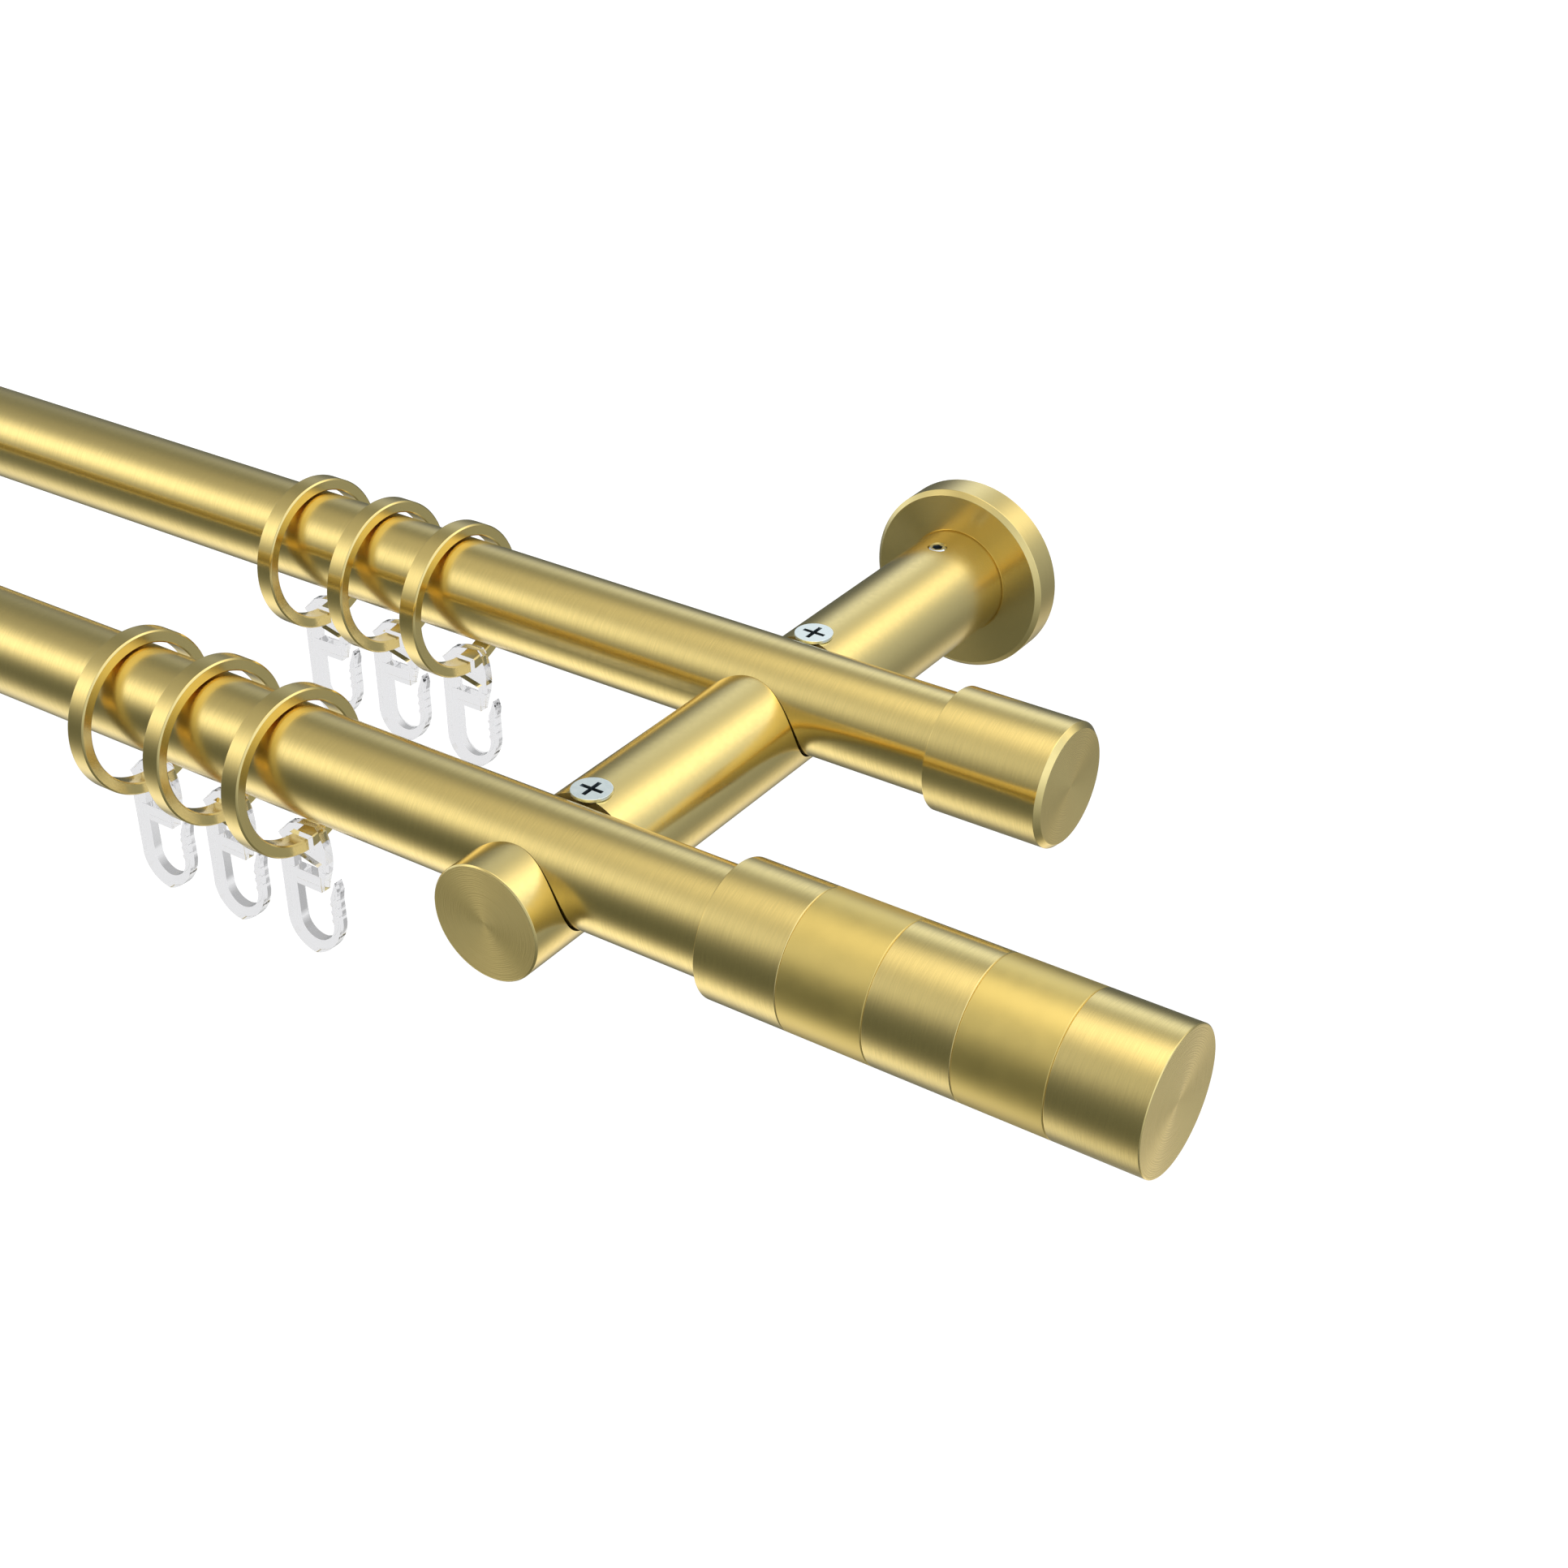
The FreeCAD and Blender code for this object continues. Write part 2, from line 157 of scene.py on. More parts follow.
# Clear plastic
PLASTIC = (0.80, 0.80, 0.81, 1.0)
PLASTIC_ROUGHNESS = 0.02
PLASTIC_IOR = 1.2
PLASTIC_REFLECTIONS = 12

# Studio
FLOOR_AT = (0.3, -0.1, -0.6)
FLOOR_RADIUS = 4.0
FLOOR_SEGMENTS = 96
FLOOR_COLOUR = (0.86, 0.86, 0.86, 1.0)
FLOOR_GLOW = 0.25
FLOOR_GLOW_START = 1.0
FLOOR_GLOW_FULL = 3.0
LAMP_AIM = Vector((BRACKET_X, -0.1, 0.0))
LAMP_DISTANCE = 4.0
WHITE = (1.0, 1.0, 1.0)
WARM = (1.06, 1.0, 0.86)
COOL = (0.9, 1.0, 1.25)
STUDIO = (0.09, 0.1, 0.078)
DIFFUSE_LEVEL = 0.5
SHADE_BELOW = 0.45
SHADE_FADE_Z = (-0.545, -0.5)
SHADE_FADE_Y = (-0.1, 0.1)

# Soft lights that only metal and glass show: azimuth, elevation, tightness, level, tint
REFLECTORS = [
    (15.0, 75.0, 21.0, 1.45, WHITE),
    (-110.0, 82.0, 11.0, 1.25, WARM),
    (28.0, 40.0, 21.0, 1.2, WARM),
    (-25.0, 27.0, 23.0, 0.97, COOL),
    (-124.0, 27.0, 22.0, 1.5, WHITE),
    (-90.0, 3.0, 13.0, 1.1, COOL),
    (-109.0, -53.0, 16.0, 1.3, WHITE),
    (15.0, -56.0, 19.0, 1.1, WARM),
    (95.0, 30.0, 2.3, 1.25, COOL),
    (-163.0, 31.0, 15.0, 0.22, WHITE),
]

# Lamps for dull surfaces: azimuth, elevation, size, power
LAMPS = {
    "lamp_over": (15.0, 75.0, 2.8, 60.0),
    "lamp_front_left": (-124.0, 35.0, 2.0, 35.0),
    "lamp_right": (80.0, 35.0, 2.0, 30.0),
}

# Camera
CAMERA_AT = (0.7654144, -0.4044825, 0.227753)
CAMERA_AZIMUTH = 34.16
CAMERA_ELEVATION = 34.005
CAMERA_LENS = 54.44
CAMERA_SENSOR = 36.0
CAMERA_SHIFT_Y = 0.0675
CAMERA_CLIP = 0.01


class Nodes:
    """Short ways to add linked shader nodes to one node tree."""

    def __init__(self, tree):
        self.tree = tree

    def add(self, kind, **inputs):
        node = self.tree.nodes.new(kind)
        for name, value in inputs.items():
            self.feed(node.inputs[name], value)
        return node

    def feed(self, socket, value):
        if isinstance(value, bpy.types.NodeSocket):
            self.tree.links.new(value, socket)
        else:
            socket.default_value = value

    def math(self, operation, a, b=0.0):
        node = self.tree.nodes.new("ShaderNodeMath")
        node.operation = operation
        self.feed(node.inputs[0], a)
        self.feed(node.inputs[1], b)
        return node.outputs[0]

    def times(self, a, b):
        return self.math("MULTIPLY", a, b)

    def vector(self, operation, a, b=(0.0, 0.0, 0.0), scale=None):
        node = self.tree.nodes.new("ShaderNodeVectorMath")
        node.operation = operation
        self.feed(node.inputs[0], a)
        self.feed(node.inputs[1], b)
        if scale is not None:
            self.feed(node.inputs["Scale"], scale)
        number = operation in ("DOT_PRODUCT", "LENGTH")
        return node.outputs["Value" if number else "Vector"]

    def remap(self, value, low, high, to_low, to_high):
        node = self.tree.nodes.new("ShaderNodeMapRange")
        for socket, number in zip(node.inputs, (value, low, high, to_low, to_high)):
            self.feed(socket, number)
        return node.outputs[0]

    def spread(self, noise, low, high):
        """The noise with its usual span drawn out to low and high."""
        return self.remap(noise, *NOISE_SPAN, low, high)

    def place(self):
        return self.add("ShaderNodeTexCoord").outputs["Object"]

    def cloud(self, place, scale, detail):
        node = self.add("ShaderNodeTexNoise", Vector=place, Scale=scale, Detail=detail)
        return node.outputs["Fac"]

    def bump(self, height, strength, depth):
        node = self.add("ShaderNodeBump", Strength=strength, Distance=depth, Height=height)
        return node.outputs[0]


def material(name):
    made = bpy.data.materials.new(name)
    made.use_nodes = True
    made.node_tree.nodes.clear()
    return made, Nodes(made.node_tree)


def finish_material(made, shader):
    output = made.node_tree.nodes.new("ShaderNodeOutputMaterial")
    made.node_tree.links.new(shader, output.inputs["Surface"])
    return made


def metal(n, shade, rough, normal):
    shader = n.add("ShaderNodeBsdfPrincipled", Roughness=rough, Normal=normal)
    n.feed(shader.inputs["Base Color"], shade)
    shader.inputs["Metallic"].default_value = 1.0
    return shader


class Turning:
    """Coordinates of the marks that a lathe leaves round one axis."""

    def __init__(self, n, axis, centre, mirrored):
        place = n.place()
        if mirrored:
            across = n.vector("MULTIPLY", place, (1.0, 0.0, 0.0))
            rest = n.vector("MULTIPLY", place, (0.0, 1.0, 1.0))
            place = n.vector("ADD", n.vector("ABSOLUTE", across), rest)
        self.n = n
        self.place = place
        self.line = (1.0, 0.0, 0.0) if axis == "x" else (0.0, 1.0, 0.0)
        offset = n.vector("SUBTRACT", place, centre)
        self.along = n.vector("DOT_PRODUCT", offset, self.line)
        self.radial = n.vector("MULTIPLY", offset, tuple(1.0 - part for part in self.line))
        self.radius = n.vector("LENGTH", self.radial)

    def marks(self, width, run):
        """Noise drawn out round the axis: width across a mark, run along it."""
        n = self.n
        node = n.add("ShaderNodeTexNoise", Scale=1.0, Detail=2.0, Roughness=0.6)
        node.noise_dimensions = "4D"
        lane = n.math("ADD", self.along, self.radius)
        n.feed(node.inputs["Vector"], n.vector("SCALE", self.radial, scale=1.0 / run))
        n.feed(node.inputs["W"], n.times(lane, 1.0 / width))
        return node.outputs["Fac"]

    def metal(self, shade, rough, normal, anisotropy):
        """Brass whose highlights spread across the marks."""
        n = self.n
        shader = metal(n, shade, rough, normal)
        shader.inputs["Anisotropic"].default_value = anisotropy
        circle = n.vector("CROSS_PRODUCT", self.line, self.radial)
        across = n.vector("CROSS_PRODUCT", circle, normal)
        n.feed(shader.inputs["Tangent"], n.vector("NORMALIZE", across))
        return shader.outputs[0]


def brushed_metal(name, axis, centre, streak, relief, smooth=False, mirrored=False):
    """Brass brushed on a lathe: fine marks run round the axis, or a faint cloudiness if smooth."""
    made, n = material(name)
    turning = Turning(n, axis, centre, mirrored)
    if smooth:
        grain = n.cloud(turning.place, 900.0, 3.0)
    else:
        fine = turning.marks(LINE_WIDTH, LINE_RUN)
        broad = turning.marks(8 * LINE_WIDTH, 6 * LINE_RUN)
        grain = n.math("ADD", n.times(fine, FINE_SHARE), n.times(broad, 1.0 - FINE_SHARE))
    shade = n.vector("SCALE", BRASS, scale=n.spread(grain, 1.0 - streak, 1.0 + streak))
    rough = n.spread(grain, BRUSHED_ROUGHNESS + ROUGHNESS_SPREAD, BRUSHED_ROUGHNESS - ROUGHNESS_SPREAD)
    normal = n.bump(grain, relief, LINE_DEPTH)
    return finish_material(made, turning.metal(shade, rough, normal, BRUSHED_ANISOTROPY))


def faced_metal(name, axis, centre, roughness, relief, mirrored=False):
    """End face cut on a lathe: faint uneven rings that throw a fan of light from the middle."""
    made, n = material(name)
    turning = Turning(n, axis, centre, mirrored)
    fine = turning.marks(LINE_WIDTH, LINE_RUN)
    drift = turning.marks(4 * LINE_WIDTH, 3 * LINE_RUN)
    turns = n.math("ADD", n.times(turning.radius, 1.0 / FACE_PITCH), n.times(drift, FACE_DRIFT))
    wave = n.math("SINE", n.times(turns, 2.0 * math.pi))
    height = n.math("ADD", fine, n.times(wave, FACE_RINGS))
    shade = n.vector("SCALE", BRASS, scale=n.spread(fine, 0.98, 1.02))
    rough = n.spread(fine, roughness + ROUGHNESS_SPREAD, roughness - ROUGHNESS_SPREAD)
    normal = n.bump(height, relief, LINE_DEPTH)
    return finish_material(made, turning.metal(shade, rough, normal, FACE_ANISOTROPY))


def satin_metal(name, colour, roughness):
    """Smooth satin metal with a faint cloudiness."""
    made, n = material(name)
    place = n.place()
    cloud = n.cloud(place, 260.0, 4.0)
    normal = n.bump(n.cloud(place, 4000.0, 2.0), 0.12, 0.00001)
    shade = n.vector("SCALE", colour, scale=n.spread(cloud, 0.97, 1.03))
    rough = n.spread(cloud, roughness - ROUGHNESS_SPREAD, roughness + ROUGHNESS_SPREAD)
    return finish_material(made, metal(n, shade, rough, normal).outputs[0])


def plated_steel(name, colour, roughness):
    """Plated or bright steel with the small unevenness of a stamped or rolled fastener."""
    made, n = material(name)
    cloud = n.cloud(n.place(), 700.0, 5.0)
    normal = n.bump(cloud, 0.2, 0.00003)
    shade = n.vector("SCALE", colour, scale=n.spread(cloud, 0.93, 1.05))
    rough = n.spread(cloud, roughness - 0.04, roughness + 0.05)
    return finish_material(made, metal(n, shade, rough, normal).outputs[0])


def clear_plastic(name):
    """Clear moulded plastic with the slight waviness of its flow."""
    made, n = material(name)
    normal = n.bump(n.cloud(n.place(), 180.0, 2.0), 0.06, 0.00005)
    shader = n.add("ShaderNodeBsdfPrincipled", Normal=normal)
    shader.inputs["Base Color"].default_value = PLASTIC
    shader.inputs["Roughness"].default_value = PLASTIC_ROUGHNESS
    shader.inputs["IOR"].default_value = PLASTIC_IOR
    shader.inputs["Transmission Weight"].default_value = 1.0
    return finish_material(made, shader.outputs[0])


rods, rings, ends = {}, {}, {}
for run, y in ROD_Y.items():
    rod_line = (0.0, y, ROD_Z)
    rods[run] = brushed_metal(run + "_rod_brass", "x", rod_line, 0.07, 0.25)
    rings[run] = brushed_metal(run + "_ring_brass", "x", (0.0, y, RING_Z), 0.03, 0.1)
    ends[run] = faced_metal(run + "_end_brass", "x", rod_line, 0.25, 0.25)
bracket_at = (BRACKET_X, 0.0, 0.0)
arm_brass = brushed_metal("arm_brass", "y", bracket_at, 0.02, 0.1, smooth=True, mirrored=True)
arm_face = faced_metal("arm_face_brass", "y", bracket_at, 0.33, 0.35, mirrored=True)
rosette_brass = brushed_metal("rosette_brass", "y", bracket_at, 0.03, 0.1, mirrored=True)
rosette_face = faced_metal("rosette_face_brass", "y", bracket_at, 0.24, 0.04, mirrored=True)
satin = satin_metal("satin_brass", SATIN, 0.35)
# Painted shade: the saddles' cut faces take this darker brass
saddle_shade_paint = satin_metal("milled_brass", PAINTED_SADDLE_SHADE, 0.5)
zinc = plated_steel("zinc_plate", ZINC, 0.3)
# Painted shade: the screws' sockets take this dark colour in place of the shade inside them
recess_shade_paint = plated_steel("dark_recess_plate", PAINTED_RECESS_SHADE, 0.5)
steel = plated_steel("bright_steel", STEEL, 0.14)
clear = clear_plastic("clear_hook_plastic")


def material_for(name):
    run = "front" if "front" in name or "finial" in name else "rear"
    if "_hook_" in name:
        return clear
    if name.endswith("clamp_screw"):
        return zinc
    if "grub" in name or name.endswith("wall_plate"):
        return steel
    if name.endswith(("band_2", "band_4")):
        return satin
    if "_ring_" in name:
        return rings[run]
    if name.endswith("bracket_arm"):
        return arm_brass
    if name.endswith(("rosette", "rosette_lip")):
        return rosette_brass
    return rods[run]


def face_for(name):
    """Material of a node's large end face, or None where it has none."""
    if name.endswith("bracket_arm"):
        return arm_face
    if name.endswith("rosette"):
        return rosette_face
    if name.endswith("band_" + str(BAND_COUNT)):
        return ends["front"]
    if name.endswith("end_cap"):
        return ends["rear"]
    return None


for name, node in nodes.items():
    node.data.materials.clear()
    node.data.materials.append(material_for(name))


def solid_bar(start, end, radius):
    """Profile of a plain round bar."""
    return [(start, 0.0), (start, radius), (end, radius), (end, 0.0)]


def softened(profile):
    """The closed profile with a small curve at each corner off the axis.

    A curve takes at most a fifth of the shorter side.
    """
    points = []
    for index, corner in enumerate(profile):
        here = Vector(corner)
        if here.y == 0.0:
            points.append(here)
            continue
        back = Vector(profile[index - 1]) - here
        ahead = Vector(profile[(index + 1) % len(profile)]) - here
        reach = min(SOFTNESS, back.length / 5, ahead.length / 5)
        start = here + back.normalized() * reach
        end = here + ahead.normalized() * reach
        points.append(here + back.normalized() * 2 * reach)
        for t in CURVE_STEPS:
            points.append(start * (1 - t) ** 2 + here * 2 * t * (1 - t) + end * t**2)
        points.append(here + ahead.normalized() * 2 * reach)
    return points


def piece_from(name, mesh, made_of):
    data = bpy.data.meshes.new(name)
    bmesh.ops.recalc_face_normals(mesh, faces=mesh.faces)
    mesh.to_mesh(data)
    mesh.free()
    data.shade_smooth()
    data.materials.append(made_of)
    piece = bpy.data.objects.new(name, data)
    bpy.context.scene.collection.objects.link(piece)
    return piece


def spun(name, base, way, points, made_of, segments=SEGMENTS):
    """Spin closed (distance along way, radius) points about the line through base."""
    side = way.orthogonal().normalized()
    up = way.cross(side)
    mesh = bmesh.new()
    rows = []
    for step in range(segments):
        angle = 2.0 * math.pi * step / segments
        out = side * math.cos(angle) + up * math.sin(angle)
        rows.append([mesh.verts.new(base + way * along + out * radius) for along, radius in points])
    for row, following in zip(rows, rows[1:] + rows[:1]):
        for index in range(len(points)):
            if points[index][1] or points[index - 1][1]:
                mesh.faces.new((row[index - 1], row[index], following[index], following[index - 1]))
    bmesh.ops.remove_doubles(mesh, verts=mesh.verts, dist=WELD)
    return piece_from(name, mesh, made_of)


def lathed(node, base, way, profile, suffix="_turned"):
    """Turned piece with softly broken edges, in the materials of its node."""
    points = [tuple(point) for point in softened(profile)]
    piece = spun(node + suffix, base, way, points, material_for(node))
    face = face_for(node)
    if face:
        piece.data.materials.append(face)
        for polygon in piece.data.polygons:
            if polygon.normal.dot(way) > FACE_LIMIT:
                polygon.material_index = 1
    return piece


def drill(base, way, profile, made_of, segments=SEGMENTS):
    """Turned cutting tool; the faces that it leaves take its material."""
    return spun("tool", base, way, profile, made_of, segments)


def block(low, high, foot, made_of):
    """Box tool between two corners whose lower end is smaller by the share foot."""
    mesh = bmesh.new()
    middle = (low + high) / 2
    for x in (low.x, high.x):
        for y in (low.y, high.y):
            for z, share in ((low.z, foot), (high.z, 1.0)):
                across = middle.x + (x - middle.x) * share
                mesh.verts.new((across, middle.y + (y - middle.y) * share, z))
    bmesh.ops.convex_hull(mesh, input=mesh.verts)
    return piece_from("tool", mesh, made_of)


def apply_steps(piece):
    """Turn the piece's modifiers into its own mesh."""
    finished = piece.evaluated_get(bpy.context.evaluated_depsgraph_get())
    mesh = bpy.data.meshes.new_from_object(finished)
    piece.modifiers.clear()
    piece.data = mesh
    return mesh


def cut(piece, tools):
    """Cut the tools out of the piece; the new faces keep the tools' materials."""
    for tool in tools:
        step = piece.modifiers.new("cut", "BOOLEAN")
        step.operation = "DIFFERENCE"
        step.solver = "EXACT"
        step.material_mode = "TRANSFER"
        step.object = tool
    apply_steps(piece).set_sharp_from_angle(angle=SHARP_ANGLE)
    for tool in tools:
        bpy.data.objects.remove(tool)


def settle(piece, node):
    """Let the piece stand for its node and move with it."""
    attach(piece, nodes[node]["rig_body"])
    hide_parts(node)


def line_of(node, side):
    """Start, direction, length and radius of a node turned about the X axis."""
    low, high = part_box(node)
    start = Vector((low.x if side > 0 else high.x, (low.y + high.y) / 2, (low.z + high.z) / 2))
    return start, X_WAY * side, high.x - low.x, (high.z - low.z) / 2


def upright_of(node):
    """Centre of the lower end, length and radius of a node turned about the Z axis."""
    low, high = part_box(node)
    foot = Vector(((low.x + high.x) / 2, (low.y + high.y) / 2, low.z))
    return foot, high.z - low.z, (high.x - low.x) / 2


def rod(node):
    start, way, length, radius = line_of(node, 1.0)
    bore = radius - ROD_WALL
    profile = [(0.0, bore), (0.0, radius), (length, radius), (length, bore)]
    settle(lathed(node, start, way, profile), node)


def ring(node):
    start, way, length, radius = line_of(node, 1.0)
    bore = radius - RING_WALL
    edge = RING_EDGE
    profile = [
        (0.0, bore + edge),
        (0.0, radius - edge),
        (edge, radius),
        (length - edge, radius),
        (length, radius - edge),
        (length, bore + edge),
        (length - edge, bore),
        (edge, bore),
    ]
    settle(lathed(node, start, way, profile), node)


def grub_hole(grub, made_of):
    """Tool for the hole of a grub screw on the under side, from the screw's own place."""
    foot, length, radius = upright_of(grub)
    hole = solid_bar(-OPENING, length, radius + GRUB_CLEARANCE)
    return drill(foot, Z_WAY, hole, made_of)


def band(name, side, number):
    node = name + "_finial_band_" + str(number)
    start, way, length, radius = line_of(node, side)
    bore = radius - BAND_WALL
    last = number == BAND_COUNT
    edge = BAND_END_EDGE if last else BAND_JOINT_EDGE
    profile = [
        (0.0, bore),
        (0.0, radius - BAND_JOINT_EDGE),
        (BAND_JOINT_EDGE, radius),
        (length - edge, radius),
        (length, radius - edge),
    ]
    if last:
        inside = length - BAND_END_WALL
        profile += [(length, 0.0), (inside, 0.0), (inside, bore)]
    else:
        profile += [(length, bore)]
    piece = lathed(node, start, way, profile)
    if number == 1:
        cut(piece, [grub_hole(name + "_finial_grub_screw", material_for(node))])
    settle(piece, node)


def cap(name, side):
    node = name + "_end_cap"
    start, way, length, radius = line_of(node, side)
    bore = radius - CAP_WALL
    profile = [
        (0.0, bore + CAP_MOUTH_EDGE),
        (0.0, radius),
        (length - CAP_EDGE, radius),
        (length, radius - CAP_EDGE),
        (length, 0.0),
        (CAP_DEPTH, 0.0),
        (CAP_DEPTH, bore),
        (CAP_MOUTH_EDGE, bore),
    ]
    piece = lathed(node, start, way, profile)
    cut(piece, [grub_hole(name + "_end_cap_grub_screw", material_for(node))])
    settle(piece, node)


def rosette(name, x, arm_radius):
    """Wall cover, with the lip that fills its gap round the arm."""
    node = name + "_rosette"
    low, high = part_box(node)
    thickness = high.y - low.y
    radius = (high.z - low.z) / 2
    recess = radius - ROSETTE_SIDE_WALL
    hole = arm_radius + ROSETTE_ARM_GAP
    inside = thickness - ROSETTE_FACE_WALL
    profile = [
        (0.0, recess),
        (0.0, radius),
        (thickness - ROSETTE_EDGE, radius),
        (thickness, radius - ROSETTE_EDGE),
        (thickness, hole),
        (inside, hole),
        (inside, recess),
    ]
    centre = Vector((x, 0.0, 0.0))
    settle(lathed(node, centre, OUT_WAY, profile), node)
    lip_bore = arm_radius + LIP_CLEARANCE
    lip_radius = hole - LIP_CLEARANCE
    lip = [
        (inside, lip_bore),
        (inside, lip_radius),
        (thickness - LIP_CLEARANCE, lip_radius),
        (thickness - LIP_FALL, lip_bore),
    ]
    piece = lathed(node + "_lip", centre, OUT_WAY, lip, "")
    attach(piece, nodes[node]["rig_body"])


def saddle_tools(x, rod_y, rod_radius, arm_radius):
    """Tools for one saddle: the round seat of the rod, and the way in from above and behind. The faces
    that they leave are darker brass, painted shade in the gap round the rod.
    """
    bore = rod_radius + SADDLE_CLEARANCE
    seat_z = ROD_Z - SADDLE_CLEARANCE
    begin = Vector((x - 2 * arm_radius, rod_y, seat_z))
    back = rod_y + rod_radius + SADDLE_BACK_CLEARANCE
    above = Vector((x + 2 * arm_radius, back, seat_z + 2 * arm_radius))
    seat = drill(begin, X_WAY, solid_bar(0.0, 4 * arm_radius, bore), saddle_shade_paint)
    return [seat, block(begin, above, 1.0, saddle_shade_paint)]


def clamp_hole(screw, arm_radius, made_of):
    """Tool for a clamp screw's countersunk hole, open to the arm's upper side."""
    foot, length, head = upright_of(screw)
    shank = SCREW_SHANK + GRUB_CLEARANCE
    mouth = head + SCREW_CLEARANCE
    rim = length - SCREW_RIM
    top = length + arm_radius
    profile = [
        (-GRUB_CLEARANCE, 0.0),
        (-GRUB_CLEARANCE, shank),
        (rim - (mouth - shank), shank),
        (rim, mouth),
        (top, mouth),
        (top, 0.0),
    ]
    return drill(foot, Z_WAY, profile, made_of)


def arm(name, x):
    """Bracket arm with its two saddles, the clamp screws' holes and the grub screw's hole."""
    node = name + "_bracket_arm"
    low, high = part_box(node)
    radius = (high.z - low.z) / 2
    length = high.y - low.y
    profile = [
        (0.0, ARM_BORE),
        (0.0, radius),
        (length - ARM_EDGE, radius),
        (length, radius - ARM_EDGE),
        (length, 0.0),
        (ARM_BORE_DEPTH, 0.0),
        (ARM_BORE_DEPTH, ARM_BORE),
    ]
    piece = lathed(node, Vector((x, high.y, 0.0)), OUT_WAY, profile)
    made_of = material_for(node)
    tools = []
    for run, rod_y in ROD_Y.items():
        rod_radius = line_of(run + "_rod", 1.0)[-1]
        tools += saddle_tools(x, rod_y, rod_radius, radius)
        tools.append(clamp_hole(name + "_" + run + "_clamp_screw", radius, made_of))
    foot, _, grub = upright_of(name + "_arm_grub_screw")
    tools.append(drill(foot, Z_WAY, solid_bar(-OPENING, radius, grub + GRUB_CLEARANCE), made_of))
    cut(piece, tools)
    settle(piece, node)
    return radius


def clamp_screw(node):
    """Countersunk screw with a tapered cross recess whose faces are painted dark as shade."""
    foot, length, head = upright_of(node)
    rim = length - SCREW_RIM
    neck = rim - (head - SCREW_SHANK)
    profile = [
        (0.0, 0.0),
        (0.0, SCREW_SHANK),
        (neck, SCREW_SHANK),
        (rim, head),
        (length, head),
        (length, 0.0),
    ]
    piece = lathed(node, foot, Z_WAY, profile)
    bottom = foot + Z_WAY * (length - CROSS_DEPTH)
    top = foot + Z_WAY * (length + SOCKET_OPENING)
    slots = []
    for width, span in ((CROSS_SPAN, CROSS_WIDTH), (CROSS_WIDTH, CROSS_SPAN)):
        half = Vector((width / 2, span / 2, 0.0))
        # The cross's faces take the dark painted shade of the recess
        slots.append(block(bottom - half, top + half, CROSS_FOOT, recess_shade_paint))
    cut(piece, slots)
    settle(piece, node)


def grub_screw(node, way, socket, socket_depth):
    """Grub screw with a broken edge and a hexagon socket, pointing its socket along way; the socket's
    faces are painted dark as shade.
    """
    foot, length, radius = upright_of(node)
    tip = foot if way.z > 0 else foot + Z_WAY * length
    profile = [
        (0.0, 0.0),
        (0.0, radius),
        (length - GRUB_EDGE, radius),
        (length, radius - GRUB_EDGE),
        (length, 0.0),
    ]
    piece = lathed(node, tip, way, profile)
    corner = socket / math.sqrt(3.0)
    hexagon = solid_bar(length - socket_depth, length + SOCKET_OPENING, corner)
    # The socket's faces take the dark painted shade of the recess
    cut(piece, [drill(tip, way, hexagon, recess_shade_paint, segments=6)])
    settle(piece, node)


def hook(node):
    """Clear hook with the small round edges that its mould leaves."""
    mesh = bmesh.new()
    mesh.from_mesh(nodes[node].data)
    bmesh.ops.remove_doubles(mesh, verts=mesh.verts, dist=CAD_WELD)
    bmesh.ops.dissolve_limit(mesh, angle_limit=FLAT_ANGLE, verts=mesh.verts, edges=mesh.edges)
    edges = [edge for edge in mesh.edges if edge.calc_face_angle(0.0) > SHARP_ANGLE]
    corners = list({corner for edge in edges for corner in edge.verts})
    bmesh.ops.bevel(
        mesh,
        geom=corners + edges,
        offset=HOOK_EDGE,
        offset_type="OFFSET",
        segments=HOOK_EDGE_STEPS,
        profile=0.5,
        affect="EDGES",
        clamp_overlap=False,
    )
    piece = piece_from(node + "_moulded", mesh, clear)
    piece.modifiers.new("flat faces", "WEIGHTED_NORMAL")
    apply_steps(piece)
    settle(piece, node)


for run in ROD_Y:
    rod(run + "_rod")
for name, side in SIDES.items():
    for number in range(1, BAND_COUNT + 1):
        band(name, side, number)
    cap(name, side)
    rosette(name, side * BRACKET_X, arm(name, side * BRACKET_X))
    for run in ROD_Y:
        clamp_screw(name + "_" + run + "_clamp_screw")
        for number in RING_NUMBERS:
            ring(name + "_" + run + "_ring_" + str(number))
            hook(name + "_" + run + "_hook_" + str(number))
    grub_screw(name + "_arm_grub_screw", Z_WAY, ARM_SOCKET, ARM_SOCKET_DEPTH)
    for end in ("_finial", "_end_cap"):
        grub_screw(name + end + "_grub_screw", -Z_WAY, END_SOCKET, END_SOCKET_DEPTH)


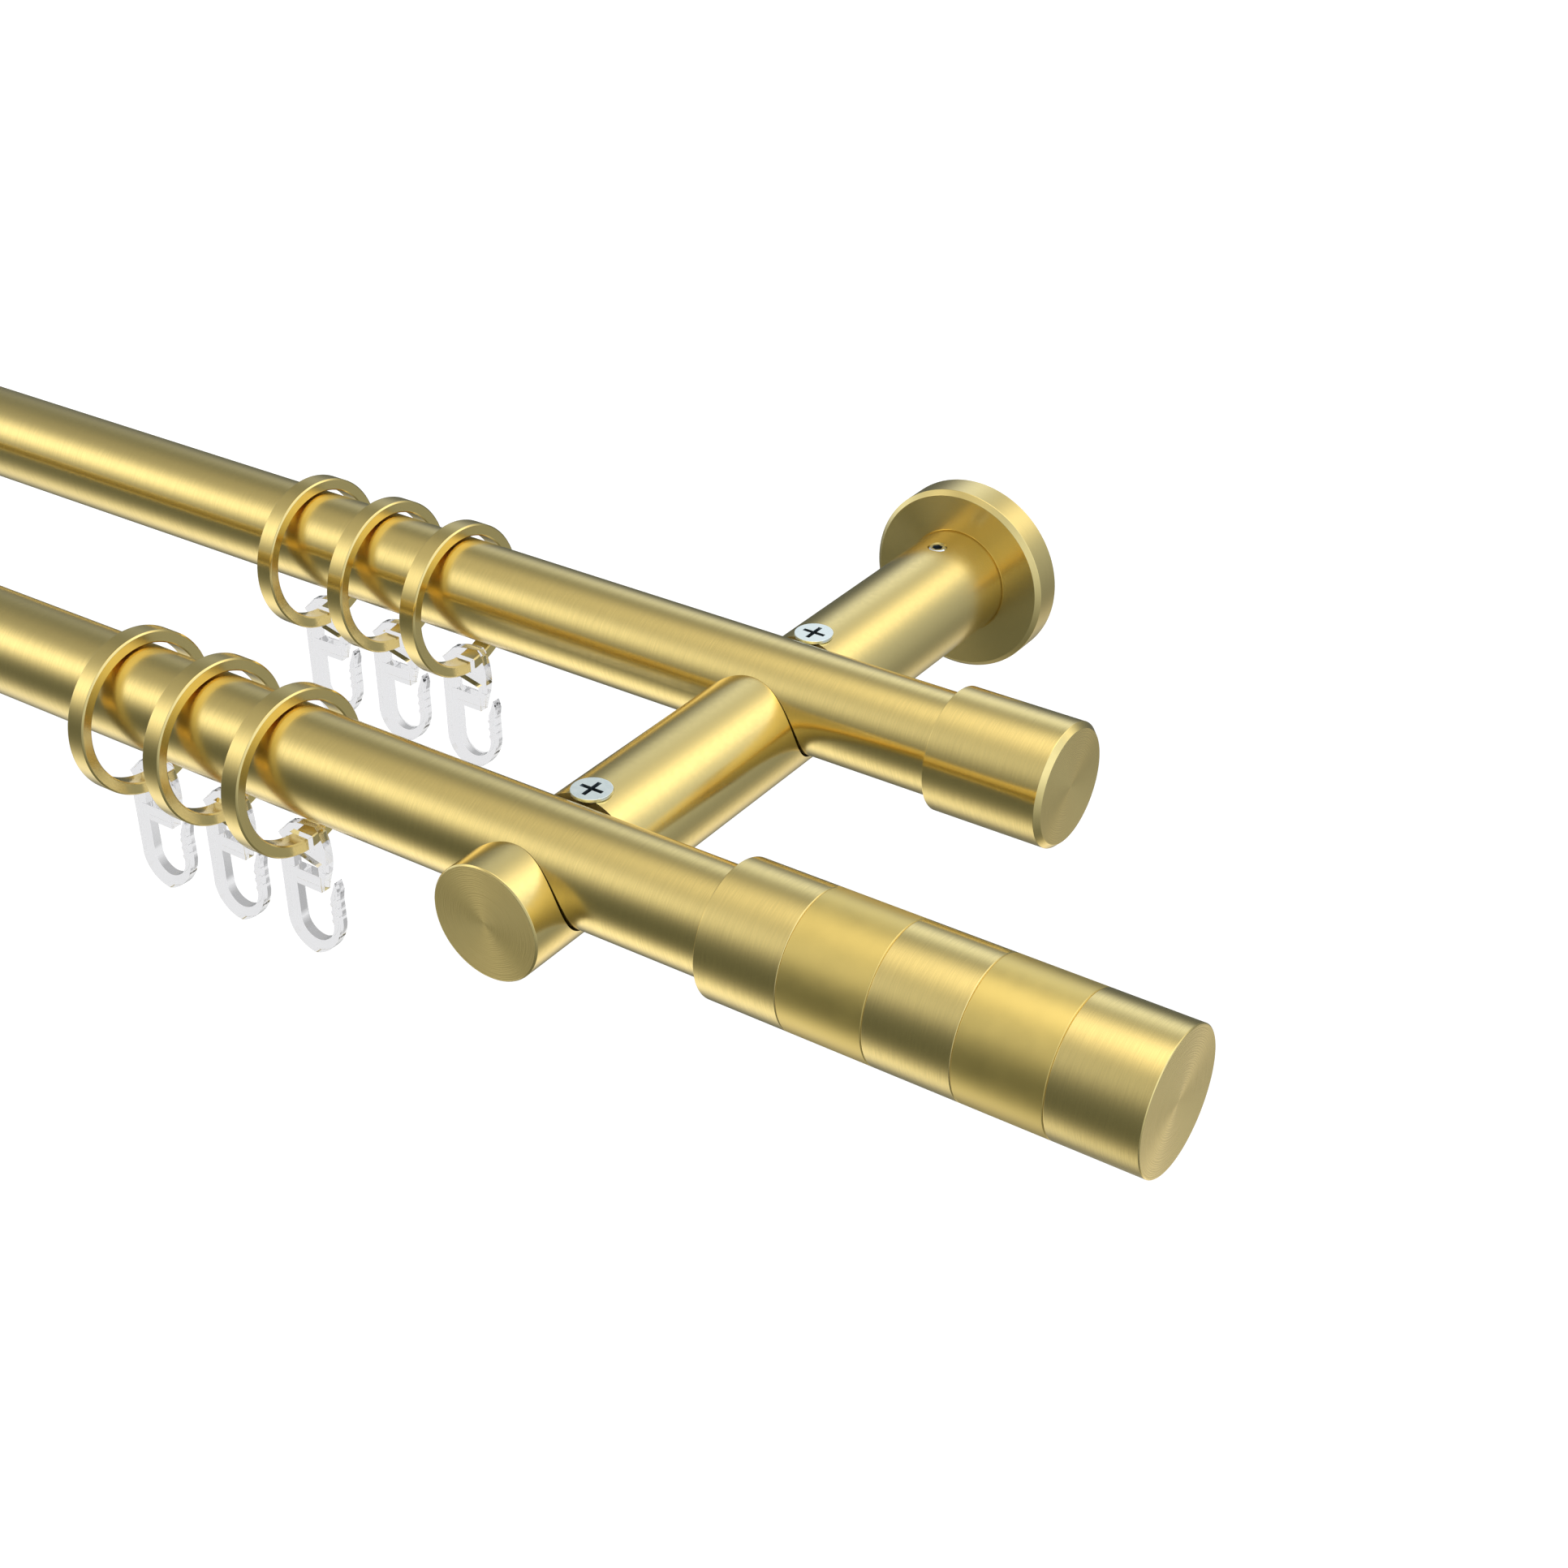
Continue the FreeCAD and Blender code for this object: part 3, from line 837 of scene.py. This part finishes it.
def stage_floor():
    """White round floor well below the rods.

    Metal, clear plastic and a view from beneath see through it into the studio.
    """
    made, n = material("white_floor")
    path = n.add("ShaderNodeLightPath").outputs
    distance = n.vector("LENGTH", n.place())
    rim = n.remap(distance, FLOOR_GLOW_START, FLOOR_GLOW_FULL, FLOOR_GLOW, 1.0)
    glow = n.add("ShaderNodeEmission", Strength=n.times(path["Is Camera Ray"], rim))
    glow.inputs["Color"].default_value = (1.0, 1.0, 1.0, 1.0)
    paint = n.add("ShaderNodeBsdfDiffuse")
    paint.inputs["Color"].default_value = FLOOR_COLOUR
    lit = n.add("ShaderNodeAddShader")
    n.feed(lit.inputs[0], glow.outputs[0])
    n.feed(lit.inputs[1], paint.outputs[0])
    open_way = n.add("ShaderNodeBsdfTransparent")
    mirrored = n.math("MAXIMUM", path["Is Glossy Ray"], path["Is Transmission Ray"])
    beneath = n.add("ShaderNodeNewGeometry").outputs["Backfacing"]
    either = n.add("ShaderNodeMixShader", Fac=n.math("MAXIMUM", mirrored, beneath))
    n.feed(either.inputs[1], lit.outputs[0])
    n.feed(either.inputs[2], open_way.outputs[0])
    finish_material(made, either.outputs[0])
    bpy.ops.mesh.primitive_circle_add(
        vertices=FLOOR_SEGMENTS,
        radius=FLOOR_RADIUS,
        fill_type="NGON",
        location=FLOOR_AT,
    )
    floor = bpy.context.object
    floor.name = "floor"
    floor.data.materials.append(made)


def direction(azimuth, elevation):
    """Unit vector; azimuth is counted from +Y towards +X."""
    a, e = math.radians(azimuth), math.radians(elevation)
    return Vector((math.cos(e) * math.sin(a), math.cos(e) * math.cos(a), math.sin(e)))


def studio_lights(n, way):
    """Colour of the dim studio with its soft lights, in the direction way."""
    lights = STUDIO
    for azimuth, elevation, tightness, level, tint in REFLECTORS:
        dot = n.vector("DOT_PRODUCT", way, direction(azimuth, elevation))
        falloff = n.math("EXPONENT", n.times(n.math("SUBTRACT", dot, 1.0), tightness))
        light = n.vector("SCALE", tint, scale=n.times(falloff, level))
        lights = n.vector("ADD", lights, light)
    return lights


def studio_world():
    """White to the camera, plain light for dull surfaces, and soft lights for metal.

    Clear plastic shows white too, with a greyer part low in front that draws its edges.
    """
    world = bpy.data.worlds.new("studio")
    bpy.context.scene.world = world
    world.use_nodes = True
    world.node_tree.nodes.clear()
    n = Nodes(world.node_tree)
    way = n.vector("NORMALIZE", n.add("ShaderNodeTexCoord").outputs["Generated"])
    path = n.add("ShaderNodeLightPath").outputs
    lights = studio_lights(n, way)
    sides = n.add("ShaderNodeSeparateXYZ", Vector=way).outputs
    low = n.remap(sides["Z"], *SHADE_FADE_Z, 1.0, 0.0)
    front = n.remap(sides["Y"], *SHADE_FADE_Y, 1.0, 0.0)
    grey = n.times(n.times(low, front), SHADE_BELOW)
    clear_view = path["Is Transmission Ray"]
    through = n.times(clear_view, n.math("SUBTRACT", 1.0, grey))
    plain = n.times(path["Is Diffuse Ray"], DIFFUSE_LEVEL)
    white = n.math("MAXIMUM", n.math("MAXIMUM", path["Is Camera Ray"], through), plain)
    mirror_view = n.times(path["Is Glossy Ray"], n.math("SUBTRACT", 1.0, clear_view))
    shine = n.vector("SCALE", lights, scale=mirror_view)
    both = n.vector("ADD", shine, n.vector("SCALE", WHITE, scale=white))
    background = n.add("ShaderNodeBackground", Color=both, Strength=1.0)
    output = world.node_tree.nodes.new("ShaderNodeOutputWorld")
    world.node_tree.links.new(background.outputs[0], output.inputs["Surface"])


def lamp(name, azimuth, elevation, size, power):
    """Soft lamp for dull surfaces and the floor's shadow; metal shows the reflectors instead."""
    data = bpy.data.lights.new(name, "AREA")
    data.shape = "DISK"
    data.size = size
    data.energy = power
    made = bpy.data.objects.new(name, data)
    bpy.context.scene.collection.objects.link(made)
    way = direction(azimuth, elevation)
    made.location = LAMP_AIM + way * LAMP_DISTANCE
    made.rotation_euler = way.to_track_quat("Z", "Y").to_euler()
    made.visible_camera = False
    made.visible_glossy = False
    made.visible_transmission = False


def camera():
    data = bpy.data.cameras.new("camera")
    data.lens = CAMERA_LENS
    data.sensor_width = CAMERA_SENSOR
    data.shift_y = CAMERA_SHIFT_Y
    data.clip_start = CAMERA_CLIP
    made = bpy.data.objects.new("camera", data)
    bpy.context.scene.collection.objects.link(made)
    made.location = CAMERA_AT
    tilt = math.radians(90.0 - CAMERA_ELEVATION)
    made.rotation_euler = (tilt, 0.0, math.radians(CAMERA_AZIMUTH))
    bpy.context.scene.camera = made


stage_floor()
studio_world()
for name, (azimuth, elevation, size, power) in LAMPS.items():
    lamp(name, azimuth, elevation, size, power)
camera()
bpy.context.scene.view_settings.view_transform = "Standard"

# Light goes round inside the clear hooks; with fewer reflections they show black specks
bpy.context.scene.cycles.glossy_bounces = PLASTIC_REFLECTIONS
